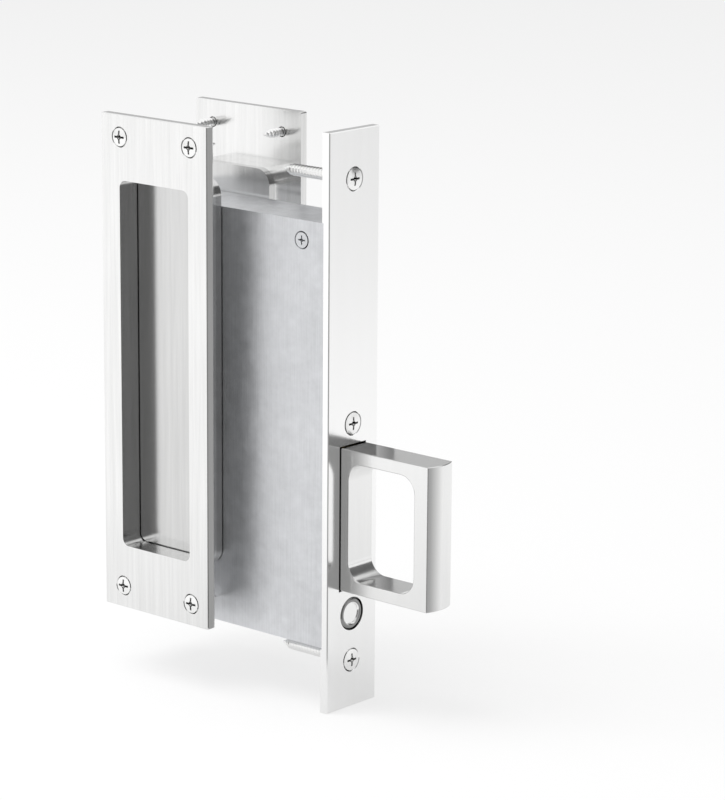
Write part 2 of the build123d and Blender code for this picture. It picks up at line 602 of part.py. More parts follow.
def pull_back():
    """Recess floor: a raised land inside the window on a plate that closes the sleeve."""
    gap = 2 * BACK_JOINT_GAP
    wall = 2 * SLEEVE_WALL
    land = RectangleRounded(WINDOW_WIDTH - gap, WINDOW_LENGTH - gap, WINDOW_RADIUS - BACK_JOINT_GAP)
    plate = RectangleRounded(WINDOW_WIDTH + wall, WINDOW_LENGTH + wall, WINDOW_RADIUS + SLEEVE_WALL)
    floor = extrude(land, amount=BACK_LAND) + extrude(plate, amount=-BACK_FLANGE)
    return pull_plane(-SLEEVE_END) * floor


def pull_screws():
    screw = wood_screw(PULL_SCREW_HEAD, PULL_SCREW_BODY, PULL_SCREW_LENGTH, PULL_FLANGE)
    return [place * screw for place in pull_screw_places()]


def far_side(shapes):
    """The same pieces turned round to the other door face."""
    return [Pos(2 * PULL_X, 0, 0) * Rot(0, 0, 180) * shape for shape in shapes]


def pieces():
    """Every node of the set, each with its solids."""
    near_frame, near_back, near_screws = pull_frame(), pull_back(), pull_screws()
    return {
        "front_plate": [front_plate()],
        "front_plate_screws": front_plate_screws(),
        "front_plate_machine_screw": [front_plate_machine_screw()],
        "case_body": [case_body()],
        "case_cover": [case_cover()],
        "case_cover_screws": case_cover_screws(),
        "case_fixing_screws": case_fixing_screws(),
        "cover_posts": cover_posts(),
        "front_block": [front_block()],
        "upper_guide": [upper_guide()],
        "lower_guide": [lower_guide()],
        "stop_buffers": stop_buffers(),
        "spring_abutment": [spring_abutment()],
        "ejector_spring": [ejector_spring()],
        "edge_pull": [edge_pull()],
        "pull_carriage": [pull_carriage()],
        "carriage_screws": carriage_screws(),
        "spring_rod": [spring_rod()],
        "release_button": [release_button()],
        "button_spring": [button_spring()],
        "button_bracket": [button_bracket()],
        "latch_lever": [latch_lever()],
        "lever_pin": [lever_pin()],
        "lever_spring": [lever_spring()],
        "near_pull_frame": [near_frame],
        "near_pull_back": [near_back],
        "near_pull_screws": near_screws,
        "far_pull_frame": far_side([near_frame]),
        "far_pull_back": far_side([near_back]),
        "far_pull_screws": far_side(near_screws),
    }


os.makedirs("parts", exist_ok=True)
for name, shapes in pieces().items():
    solids = [solid for shape in shapes for solid in shape.solids()]
    export_step(Compound(solids), f"parts/{name}.step")
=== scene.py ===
"""Looks of a pocket door pull set: metals, screw threads and wire springs, built round the CAD frame."""

import json
import math

import bpy
import numpy as np
from mathutils import Matrix, Vector


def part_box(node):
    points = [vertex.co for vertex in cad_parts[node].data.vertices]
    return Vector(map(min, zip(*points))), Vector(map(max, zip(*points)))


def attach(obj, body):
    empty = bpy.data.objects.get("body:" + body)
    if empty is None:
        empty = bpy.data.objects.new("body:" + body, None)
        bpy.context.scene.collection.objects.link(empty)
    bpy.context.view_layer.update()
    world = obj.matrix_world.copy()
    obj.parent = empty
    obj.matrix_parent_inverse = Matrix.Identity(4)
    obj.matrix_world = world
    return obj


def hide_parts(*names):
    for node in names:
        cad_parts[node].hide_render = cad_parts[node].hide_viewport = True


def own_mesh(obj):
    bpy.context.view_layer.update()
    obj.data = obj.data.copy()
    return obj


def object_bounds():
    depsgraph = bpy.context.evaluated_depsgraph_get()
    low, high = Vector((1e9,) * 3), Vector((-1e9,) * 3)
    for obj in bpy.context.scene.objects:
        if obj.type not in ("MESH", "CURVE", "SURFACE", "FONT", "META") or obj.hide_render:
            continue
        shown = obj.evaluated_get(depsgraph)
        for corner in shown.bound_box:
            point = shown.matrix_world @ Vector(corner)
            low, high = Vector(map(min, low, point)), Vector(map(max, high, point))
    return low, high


bl_info = {
    "name": "Pocket Door Pull Set",
    "version": (1, 0, 0),
    "blender": (4, 5, 0),
    "location": "3D View > Sidebar > Door Pull",
    "description": "Metals, screw threads, wire springs and a studio stage for a pocket door pull set",
    "category": "Object",
}

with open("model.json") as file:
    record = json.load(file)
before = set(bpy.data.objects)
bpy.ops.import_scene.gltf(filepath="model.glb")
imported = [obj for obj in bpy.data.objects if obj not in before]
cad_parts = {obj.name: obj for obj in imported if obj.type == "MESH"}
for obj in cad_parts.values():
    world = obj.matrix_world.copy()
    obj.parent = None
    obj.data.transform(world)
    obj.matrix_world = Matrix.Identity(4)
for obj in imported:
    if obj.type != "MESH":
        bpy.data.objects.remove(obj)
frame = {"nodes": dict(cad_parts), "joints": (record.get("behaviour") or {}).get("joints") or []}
CAD_BOX = [list(corner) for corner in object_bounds()]
TURN = 2 * math.pi
MM = 0.001

PLATE_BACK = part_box("front_plate")[0].x
PLATE_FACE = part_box("front_plate")[1].x
PULL_FACE = -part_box("near_pull_frame")[0].y
PULL_FLANGE = 3.2 * MM
BUTTON_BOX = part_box("release_button")
# Radius of the painted shade in the bore, and radius where the painted shade on the button's rim begins
BUTTON_BORE = 6.05 * MM
BUTTON_DISH = 4.1 * MM
FLOOR_LEVEL = CAD_BOX[0][2]

# Meshes: the crease angle, and the turns at each end of a coil that lie closed and that open up
SHARP_ANGLE = math.radians(40)
CLOSED_TURNS = 0.875
OPENING_TURNS = 0.25

# Shading: the colour of painted shade, the range that most of a noise fills, and lengths in millimetres
PAINTED_SHADE_COLOUR = (0.02, 0.02, 0.02, 1.0)
NOISE_RANGE = (0.3, 0.7)
BORE_BLUR = 0.02
RIM_BLUR = 0.1
# Depths in the screws over which painted shade fades in and then out again
RECESS_DEPTHS = (0.3, 1.3)
HEAD_DEPTHS = (2.6, 3.4)

# Stage: lengths in metres, and fades over the floor and the back card in millimetres
CARD_GAP = 0.3 * MM
CARD_STEPS = 25
FLOOR_REACH = 8.0
FLOOR_CLOSE_FADE = (40, 320)
FLOOR_FAR_FADE = (250, 560)
FLOOR_CARD_SHARES = (0.4, 1.0)
FRONT_CARD_TOP = 0.3
BACK_CARD_RADIUS = 0.7
BACK_CARD_ENDS = (math.radians(20), math.radians(170))
BACK_CARD_LEVELS = (0.07, 0.6)
BACK_CARD_FADE = (250, -250)


def find_joint(name):
    """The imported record's joint of that name."""
    return next(joint for joint in frame["joints"] if joint["name"] == name)


def joint_travel(name):
    """Longest travel of a sliding joint, in metres."""
    return max(abs(limit) for limit in find_joint(name)["range_m"])


# Surfaces


def tube_faces(rings, sides):
    """Quads of a tube, ring i to ring i + 1 and point j to point j + 1, and its two end caps."""
    i, j = np.meshgrid(np.arange(rings - 1), np.arange(sides), indexing="ij")
    here = i * sides + j
    beside = i * sides + (j + 1) % sides
    quads = np.stack([here, beside, beside + sides, here + sides], axis=-1).reshape(-1, 4)
    first_cap = np.arange(sides)[::-1]
    last_cap = np.arange(sides) + (rings - 1) * sides
    return quads, np.stack([first_cap, last_cap])


def make_piece(name, tubes, material):
    """Object at the origin made of closed tubes, an array of tubes by rings by sides by three."""
    count, rings, sides = tubes.shape[:3]
    first = np.arange(count)[:, None, None] * rings * sides
    quads, caps = tube_faces(rings, sides)
    faces = (quads + first).reshape(-1, 4).tolist() + (caps + first).reshape(-1, sides).tolist()
    mesh = bpy.data.meshes.new(name)
    mesh.from_pydata(tubes.reshape(-1, 3).tolist(), [], faces)
    mesh.shade_smooth()
    mesh.set_sharp_from_angle(angle=SHARP_ANGLE)
    mesh.materials.append(material)
    piece = bpy.data.objects.new(name, mesh)
    bpy.context.scene.collection.objects.link(piece)
    return piece


def thread_ridge(length, root, tip, point, crest, pitch, flank, steps):
    """Screw thread along local x, from 0 to the tip at x = length.

    The middle of the ridge climbs x = pitch * turns. The root radius is constant, then falls in a
    straight line to the point over the tip length. Across the ridge four points stand at flank,
    flank / 5, -flank / 5 and -flank along x, the outer two half a crest under the root and the inner
    two a crest height above it. The crest rises from nothing over the first turn and fades over the
    last two.
    """
    turns = (length - 2 * flank) / pitch
    turn = np.linspace(0, turns, int(turns * steps))[:, None]
    middle = flank + pitch * turn
    body = root - (root - point) * np.clip((middle - length + tip) / tip, 0, 1)
    height = crest * np.minimum(1, np.minimum(turn, (turns - turn) / 2))
    along = middle + flank * np.array([1.0, 0.2, -0.2, -1.0])
    sunk = np.full_like(height, -crest / 2)
    radius = body + np.concatenate([sunk, height, height, sunk], axis=1)
    radius = np.maximum(radius, point / 2)
    angle = TURN * turn
    return np.stack([along, radius * np.cos(angle), radius * np.sin(angle)], axis=-1)


def wire_coil(length, mean_radius, wire, turns, steps, sides):
    """Coil spring of round wire along local x, from 0 to length, with its end coils closed.

    The centre of the wire circles the axis at the mean radius. Its rise per turn is one wire diameter
    in the first and last turn and even between them, and the even rise is set so that all the rises
    add up to the length less one wire. The round section stands across the tangent of that curve.
    """
    turn = np.linspace(0, turns, int(turns * steps))
    inner = np.clip((np.minimum(turn, turns - turn) - CLOSED_TURNS) / OPENING_TURNS, 0, 1)
    inner = inner * inner * (3 - 2 * inner)
    spread = (inner[1:] + inner[:-1]) / 2 * np.diff(turn)
    open_rise = (length - wire - wire * (turns - spread.sum())) / spread.sum()
    rise = wire + (open_rise - wire) * inner
    climb = wire * np.diff(turn) + (open_rise - wire) * spread
    along = wire / 2 + np.concatenate([[0], np.cumsum(climb)])
    angle = TURN * turn
    zero = np.zeros_like(angle)
    outwards = np.stack([zero, np.cos(angle), np.sin(angle)], axis=-1)
    tangent = np.stack([rise / TURN, -mean_radius * np.sin(angle), mean_radius * np.cos(angle)], axis=-1)
    tangent /= np.linalg.norm(tangent, axis=1, keepdims=True)
    across = np.cross(tangent, outwards)
    centre = np.stack([along, mean_radius * np.cos(angle), mean_radius * np.sin(angle)], axis=-1)
    round_angle = np.linspace(0, TURN, sides, endpoint=False)[:, None]
    section = np.cos(round_angle) * outwards[:, None] + np.sin(round_angle) * across[:, None]
    return centre[:, None] + wire / 2 * section


def bowed_leaf(half_span, height, width, thickness, steps):
    """Bowed leaf spring along local x, standing on z = 0 with its crown at x = 0 and z = height.

    The top is the circle through the two toes and the crown, and the underside is the circle through
    points one thickness inside them. Each ring has two points on the underside and two on top, half
    the width to each side.
    """
    share = np.linspace(-1, 1, steps)

    def arc(half, rise):
        """The x and z of the circle over a chord of that half length, with that rise."""
        radius = (rise * rise + half * half) / (2 * rise)
        angle = share * math.asin(half / radius)
        return radius * np.sin(angle), rise - radius * (1 - np.cos(angle))

    top_x, top_z = arc(half_span, height)
    under_x, under_z = arc(half_span - thickness, height - thickness)
    x = np.stack([under_x, under_x, top_x, top_x], axis=-1)
    z = np.stack([under_z, under_z, top_z, top_z], axis=-1)
    y = np.broadcast_to(width / 2 * np.array([-1.0, 1.0, 1.0, -1.0]), x.shape)
    return np.stack([x, y, z], axis=-1)


def placed(tube, starts, axis):
    """One copy of the tube for each start point, with local x along a unit axis of the frame."""
    axis = np.array(axis, float)
    side = np.cross(axis, [0.0, 0.0, 1.0])
    turn = np.stack([axis, side, np.cross(axis, side)])
    return tube @ turn + np.array(starts, float)[:, None, None]


# Shader sockets


class Wire:
    """One shader socket. Arithmetic on it adds Math nodes to the same node tree."""

    def __init__(self, tree, socket=None):
        self.tree = tree
        self.socket = socket

    def node(self, kind, settings=None, inputs=None, output=0):
        """Add a node: first its settings, then a value or a link for each named input."""
        made = self.tree.nodes.new(kind)
        for name, value in (settings or {}).items():
            setattr(made, name, value)
        for name, value in (inputs or {}).items():
            if isinstance(value, Wire):
                self.tree.links.new(value.socket, made.inputs[name])
            else:
                made.inputs[name].default_value = value
        return Wire(self.tree, made.outputs[output] if len(made.outputs) else None)

    def math(self, operation, *operands):
        """Math node of that operation on values and wires."""
        return self.node("ShaderNodeMath", {"operation": operation}, dict(enumerate(operands)))

    def __add__(self, other):
        return self.math("ADD", self, other)

    __radd__ = __add__

    def __sub__(self, other):
        return self.math("SUBTRACT", self, other)

    def __rsub__(self, other):
        return self.math("SUBTRACT", other, self)

    def __mul__(self, other):
        return self.math("MULTIPLY", self, other)

    __rmul__ = __mul__

    def __pow__(self, other):
        return self.math("POWER", self, other)

    def at_most(self, other):
        """The smaller of the two."""
        return self.math("MINIMUM", self, other)

    def at_least(self, other):
        """The larger of the two."""
        return self.math("MAXIMUM", self, other)

    def fade(self, low, high):
        """0 below low and 1 above high, straight between them."""
        return ((self - low) * (1 / (high - low))).at_least(0.0).at_most(1.0)

    def spread(self):
        """A noise stretched so that most of its range runs from 0 to 1."""
        return self.fade(*NOISE_RANGE)

    def millimetres(self):
        """Object coordinates counted in millimetres."""
        place = self.node("ShaderNodeTexCoord", output="Object")
        return self.node("ShaderNodeVectorMath", {"operation": "SCALE"}, {0: place, "Scale": 1 / MM})

    def parts(self):
        """The x, y and z of a vector."""
        return [self.node("ShaderNodeSeparateXYZ", inputs={0: self}, output=k) for k in range(3)]

    def noise(self, stretch, detail=2.0, roughness=0.5):
        """Noise on this vector with so many waves per millimetre along x, y and z."""
        moved = self.node("ShaderNodeMapping", inputs={"Vector": self, "Scale": stretch})
        wanted = {"Vector": moved, "Scale": 1.0, "Detail": detail, "Roughness": roughness}
        return self.node("ShaderNodeTexNoise", inputs=wanted)

    def between(self, first, second):
        """Colour mixed from first to second by this value."""
        return self.node("ShaderNodeMix", {"data_type": "RGBA"}, {0: self, 6: first, 7: second}, output=2)

    def as_grey(self):
        """Grey colour of this brightness."""
        return self.node("ShaderNodeCombineColor", inputs={0: self, 1: self, 2: self})

    def plainly_seen(self):
        """1 for a ray from the camera, off metal or through glass, and 0 for any other."""
        camera, glossy, through = [
            self.node("ShaderNodeLightPath", output=f"Is {kind} Ray")
            for kind in ("Camera", "Glossy", "Transmission")
        ]
        return (camera + glossy + through).at_most(1.0)

    def bump(self, strength, depth):
        """Normal bent by this height, whose full swing is a depth in millimetres."""
        wanted = {"Strength": strength, "Distance": depth * MM, "Height": self}
        return self.node("ShaderNodeBump", inputs=wanted)


def new_material(name):
    """Empty node material and a wire on its tree."""
    material = bpy.data.materials.new(name)
    material.use_nodes = True
    material.node_tree.nodes.clear()
    return material, Wire(material.node_tree)


def close_surface(wire, **sockets):
    """Principled surface whose sockets are named with underscores for spaces, joined to the output."""
    inputs = {name.replace("_", " "): value for name, value in sockets.items()}
    shader = wire.node("ShaderNodeBsdfPrincipled", inputs=inputs)
    wire.node("ShaderNodeOutputMaterial", inputs={"Surface": shader})


def shade(colour, amount):
    """A property colour made lighter or darker, with full alpha."""
    return (*[min(1.0, channel * amount) for channel in colour], 1.0)


def from_button_axis(place):
    """The x of a place and its distance from the release button's axis, all in millimetres."""
    x, y, z = place.parts()
    rise = z - (BUTTON_BOX[0].z + BUTTON_BOX[1].z) / 2 / MM
    return x, (y * y + rise * rise) ** 0.5


def brushed_stainless(finish, name, tone, contrast):
    """Satin stainless with fine lines up and down: short scratches, broader bands and a faint cloud.

    The bore round the release button is darkened with painted shade.
    """
    material, wire = new_material(name)
    place = wire.millimetres()
    lines = place.noise((5.0, 5.0, 0.045), detail=3.0, roughness=0.6)
    bands = place.noise((0.55, 0.55, 0.018), detail=2.0)
    cloud = place.noise((0.03, 0.03, 0.02), detail=1.0)
    pattern = (lines * 0.35 + bands * 0.45 + cloud * 0.2).spread()
    # Painted light and shade: a tone above 1 makes a brighter copy of the stainless and one below 1 a
    # darker copy
    dark = shade(finish.stainless, tone * (1 - contrast))
    light = shade(finish.stainless, tone * (1 + contrast))
    brushed = pattern.between(dark, light)
    # Painted shade: the bore wall round the release button is darkened towards black by its distance from
    # the button's axis
    radius = from_button_axis(place)[1]
    bore = 1 - radius.fade(BUTTON_BORE / MM - BORE_BLUR, BUTTON_BORE / MM + BORE_BLUR)
    colour = (bore * finish.bore_painted_shade).between(brushed, PAINTED_SHADE_COLOUR)
    rough = finish.stainless_roughness - 0.035 + lines * 0.04 + bands * 0.03
    close_surface(
        wire, Base_Color=colour, Metallic=1.0, Roughness=rough, Anisotropic=finish.brush_anisotropy,
        Normal=lines.bump(finish.brush_relief, 0.01),
    )
    return material


def turned_button(finish):
    """Turned stainless: rings round the button's axis, a dish brightened with painted highlight and a
    rolled rim greyed with painted shade.
    """
    material, wire = new_material("satin_stainless_turned")
    place = wire.millimetres()
    x, radius = from_button_axis(place)
    on_rings = wire.node("ShaderNodeCombineXYZ", inputs={0: radius, 1: x, 2: 0.0})
    rings = on_rings.noise((4.0, 1.5, 1.0), detail=3.0, roughness=0.6)
    # Painted highlight: the dish is a brighter copy of the stainless
    bright = rings.spread().between(shade(finish.stainless, 1.1), shade(finish.stainless, 1.15))
    # Painted shade: the rolled rim is a darker copy of the stainless
    rim = radius.fade(BUTTON_DISH / MM - RIM_BLUR, BUTTON_DISH / MM + RIM_BLUR)
    colour = rim.between(bright, shade(finish.stainless, finish.rim_painted_shade))
    rough = finish.stainless_roughness - 0.04 + rings * 0.06
    close_surface(
        wire, Base_Color=colour, Metallic=1.0, Roughness=rough,
        Normal=rings.bump(finish.brush_relief, 0.01),
    )
    return material


def screw_stainless(finish, name, axis, face):
    """Bright screw metal, with painted shade down in the cross recess and under the head.

    Depth is measured from the face along the given axis, a sign and the number of a coordinate.
    """
    material, wire = new_material(name)
    place = wire.millimetres()
    sign, coordinate = axis
    depth = sign * (face / MM - place.parts()[coordinate])
    grain = place.noise((3.0, 3.0, 3.0), detail=3.0)
    # Painted shade: darker from just under the face down through the cross recess and under the head
    painted_shade = depth.fade(*RECESS_DEPTHS) * (1 - depth.fade(*HEAD_DEPTHS)) * finish.recess_painted_shade
    bright = grain.spread().between(shade(finish.screw, 0.95), shade(finish.screw, 1.03))
    colour = painted_shade.between(bright, PAINTED_SHADE_COLOUR)
    rough = 0.16 + grain * 0.08 + painted_shade * 0.4
    close_surface(wire, Base_Color=colour, Metallic=1.0, Roughness=rough, Normal=grain.bump(0.05, 0.01))
    return material


def plated_steel(finish):
    """Zinc plated sheet and bar: a cool spangle, rolling lines up and down and paler worn patches."""
    material, wire = new_material("plated_steel_zinc")
    place = wire.millimetres()
    spangle = place.noise((0.22, 0.22, 0.22), detail=4.0, roughness=0.6)
    rolled = place.noise((2.5, 2.5, 0.05), detail=2.0)
    wear = place.noise((0.04, 0.04, 0.04), detail=2.0)
    tone = spangle * 0.5 + rolled * 0.3 + wear * 0.2
    colour = tone.fade(0.35, 0.65).between(shade(finish.plating, 0.88), shade(finish.plating, 1.1))
    rough = 0.32 + spangle * 0.16 + rolled * 0.06
    close_surface(wire, Base_Color=colour, Metallic=1.0, Roughness=rough, Normal=rolled.bump(0.06, 0.02))
    return material


def guide_brass(finish):
    """Machined brass with cutter lines along x and a little tarnish."""
    material, wire = new_material("guide_brass_machined")
    place = wire.millimetres()
    cuts = place.noise((0.08, 3.0, 3.0), detail=2.0)
    tarnish = place.noise((0.15, 0.15, 0.15), detail=3.0)
    fresh = cuts.spread().between(shade(finish.brass, 0.94), shade(finish.brass, 1.05))
    colour = tarnish.fade(0.55, 0.8).between(fresh, shade(finish.brass, 0.72))
    rough = 0.22 + cuts * 0.1 + tarnish * 0.1
    close_surface(wire, Base_Color=colour, Metallic=1.0, Roughness=rough, Normal=cuts.bump(0.08, 0.02))
    return material


def buffer_rubber(finish):
    """Moulded black rubber with a fine matt grain and grey dust."""
    material, wire = new_material("buffer_rubber_moulded")
    place = wire.millimetres()
    grain = place.noise((6.0, 6.0, 6.0), detail=3.0)
    dust = place.noise((0.4, 0.4, 0.4), detail=3.0)
    colour = dust.fade(0.45, 0.8).between(shade(finish.rubber, 1.0), shade(finish.rubber, 1.8))
    close_surface(wire, Base_Color=colour, Roughness=0.62 + grain * 0.25, Normal=grain.bump(0.2, 0.03))
    return material


def spring_steel(finish):
    """Drawn and tempered wire and strip: draw marks along x and a light straw temper."""
    material, wire = new_material("spring_steel_tempered")
    place = wire.millimetres()
    drawn = place.noise((0.3, 4.0, 4.0), detail=2.0)
    temper = place.noise((0.06, 0.2, 0.2), detail=2.0)
    straw = (finish.spring[0] * 1.04, finish.spring[1] * 0.99, finish.spring[2] * 0.9, 1.0)
    base = drawn.spread().between(shade(finish.spring, 0.88), shade(finish.spring, 1.1))
    colour = temper.fade(0.45, 0.7).between(base, straw)
    close_surface(
        wire, Base_Color=colour, Metallic=1.0, Roughness=0.2 + drawn * 0.14, Normal=drawn.bump(0.06, 0.01)
    )
    return material


def black_steel(finish):
    """Blackened alloy steel with an oily sheen and a paler rubbed cloud."""
    material, wire = new_material("black_steel_oiled")
    place = wire.millimetres()
    grain = place.noise((2.5, 2.5, 2.5), detail=3.0)
    rubbed = place.noise((0.5, 0.5, 0.5), detail=2.0)
    colour = rubbed.fade(0.5, 0.8).between(shade(finish.blackened, 1.0), shade(finish.blackened, 2.2))
    close_surface(
        wire, Base_Color=colour, Metallic=0.7, Roughness=0.3 + grain * 0.2, Normal=grain.bump(0.08, 0.02)
    )
    return material


# Settings


class ThreadSettings(bpy.types.PropertyGroup):
    """Sizes of the wood screw threads."""

    plate_root: bpy.props.FloatProperty(
        name="Plate screw root", description="Body radius under the thread of the front plate's screws",
        default=1.7 * MM, unit="LENGTH",
    )
    pull_root: bpy.props.FloatProperty(
        name="Pull screw root", description="Body radius under the thread of the flush pulls' screws",
        default=1.2 * MM, unit="LENGTH",
    )
    plate_head: bpy.props.FloatProperty(
        name="Plate screw head", description="Head radius of the front plate's screws",
        default=3.8 * MM, unit="LENGTH",
    )
    pull_head: bpy.props.FloatProperty(
        name="Pull screw head", description="Head radius of the flush pulls' screws",
        default=3.2 * MM, unit="LENGTH",
    )
    tip: bpy.props.FloatProperty(
        name="Tip", description="Length over which the body narrows to its point",
        default=4.0 * MM, unit="LENGTH",
    )
    point: bpy.props.FloatProperty(
        name="Point", description="Radius at the very end of the screw", default=0.3 * MM, unit="LENGTH"
    )
    crest: bpy.props.FloatProperty(
        name="Crest", description="Height of the ridge above the body", default=0.42 * MM, unit="LENGTH"
    )
    pitch: bpy.props.FloatProperty(
        name="Pitch", description="Rise of the thread in one turn", default=1.35 * MM, unit="LENGTH"
    )
    flank: bpy.props.FloatProperty(
        name="Flank", description="Half width of the ridge at its foot", default=0.38 * MM, unit="LENGTH"
    )
    steps: bpy.props.IntProperty(name="Steps", description="Rings of points in one turn", default=28)


class SpringSettings(bpy.types.PropertyGroup):
    """Sizes of the two coil springs and the leaf spring."""

    ejector_radius: bpy.props.FloatProperty(
        name="Ejector radius", description="Mean coil radius of the ejector spring",
        default=4.6 * MM, unit="LENGTH",
    )
    ejector_wire: bpy.props.FloatProperty(
        name="Ejector wire", description="Wire diameter of the ejector spring",
        default=1.1 * MM, unit="LENGTH",
    )
    ejector_turns: bpy.props.FloatProperty(
        name="Ejector turns", description="Turns of the ejector spring, closed ends included", default=9.0
    )
    button_radius: bpy.props.FloatProperty(
        name="Button radius", description="Mean coil radius of the button spring",
        default=4.1 * MM, unit="LENGTH",
    )
    button_wire: bpy.props.FloatProperty(
        name="Button wire", description="Wire diameter of the button spring",
        default=0.7 * MM, unit="LENGTH",
    )
    button_turns: bpy.props.FloatProperty(
        name="Button turns", description="Turns of the button spring, closed ends included", default=5.0
    )
    steps: bpy.props.IntProperty(name="Steps", description="Rings of points in one turn", default=48)
    sides: bpy.props.IntProperty(name="Sides", description="Points round the wire", default=14)
    leaf_thickness: bpy.props.FloatProperty(
        name="Leaf thickness", description="Thickness of the lever's leaf spring",
        default=0.5 * MM, unit="LENGTH",
    )
    leaf_steps: bpy.props.IntProperty(
        name="Leaf steps", description="Rings along the leaf spring", default=49
    )


class FinishSettings(bpy.types.PropertyGroup):
    """Colours and gloss of the metals."""

    stainless: bpy.props.FloatVectorProperty(
        name="Stainless", description="Colour of the brushed stainless pieces",
        default=(0.87, 0.87, 0.866), subtype="COLOR", min=0, max=1,
    )
    grain: bpy.props.FloatProperty(
        name="Grain", description="Contrast of the brush lines on the stainless pieces", default=0.09
    )
    plate_grain: bpy.props.FloatProperty(
        name="Plate grain", description="Contrast of the brush lines on the front plate and the edge pull",
        default=0.03,
    )
    # Painted light on the front plate
    plate_painted_light: bpy.props.FloatProperty(
        name="Plate painted light", description="Brightness of the front plate against the other stainless",
        default=1.15,
    )
    # Painted shade on the recess backs of the flush pulls
    pull_back_painted_shade: bpy.props.FloatProperty(
        name="Pull back painted shade", description="Brightness of the recess backs against the other stainless",
        default=0.78,
    )
    # Painted shade on the release button's rim
    rim_painted_shade: bpy.props.FloatProperty(
        name="Rim painted shade", description="Brightness of the release button's rim against the stainless",
        default=0.34,
    )
    # Painted shade in the bore round the release button
    bore_painted_shade: bpy.props.FloatProperty(
        name="Bore grime", description="Darkness of the bore round the release button", default=0.1
    )
    stainless_roughness: bpy.props.FloatProperty(
        name="Stainless roughness", description="Mean roughness of the brushed stainless", default=0.17
    )
    brush_anisotropy: bpy.props.FloatProperty(
        name="Brush stretch", description="How far the brushing spreads highlights sideways", default=0.4
    )
    brush_relief: bpy.props.FloatProperty(
        name="Brush relief", description="Strength of the brush lines in the surface", default=0.06
    )
    screw: bpy.props.FloatVectorProperty(
        name="Screws", description="Colour of the stainless screws",
        default=(0.97, 0.97, 0.965), subtype="COLOR", min=0, max=1,
    )
    # Painted shade down in the screws' cross recesses
    recess_painted_shade: bpy.props.FloatProperty(
        name="Recess grime", description="Darkness down in the screws' cross recesses", default=0.85
    )
    plating: bpy.props.FloatVectorProperty(
        name="Plating", description="Colour of the zinc plated steel",
        default=(0.74, 0.75, 0.77), subtype="COLOR", min=0, max=1,
    )
    brass: bpy.props.FloatVectorProperty(
        name="Brass", description="Colour of the brass guides",
        default=(0.74, 0.58, 0.29), subtype="COLOR", min=0, max=1,
    )
    rubber: bpy.props.FloatVectorProperty(
        name="Rubber", description="Colour of the rubber buffers",
        default=(0.022, 0.022, 0.022), subtype="COLOR", min=0, max=1,
    )
    spring: bpy.props.FloatVectorProperty(
        name="Spring steel", description="Colour of the springs, pins and rod",
        default=(0.5, 0.5, 0.51), subtype="COLOR", min=0, max=1,
    )
    blackened: bpy.props.FloatVectorProperty(
        name="Blackened steel", description="Colour of the black cap screws",
        default=(0.035, 0.035, 0.037), subtype="COLOR", min=0, max=1,
    )


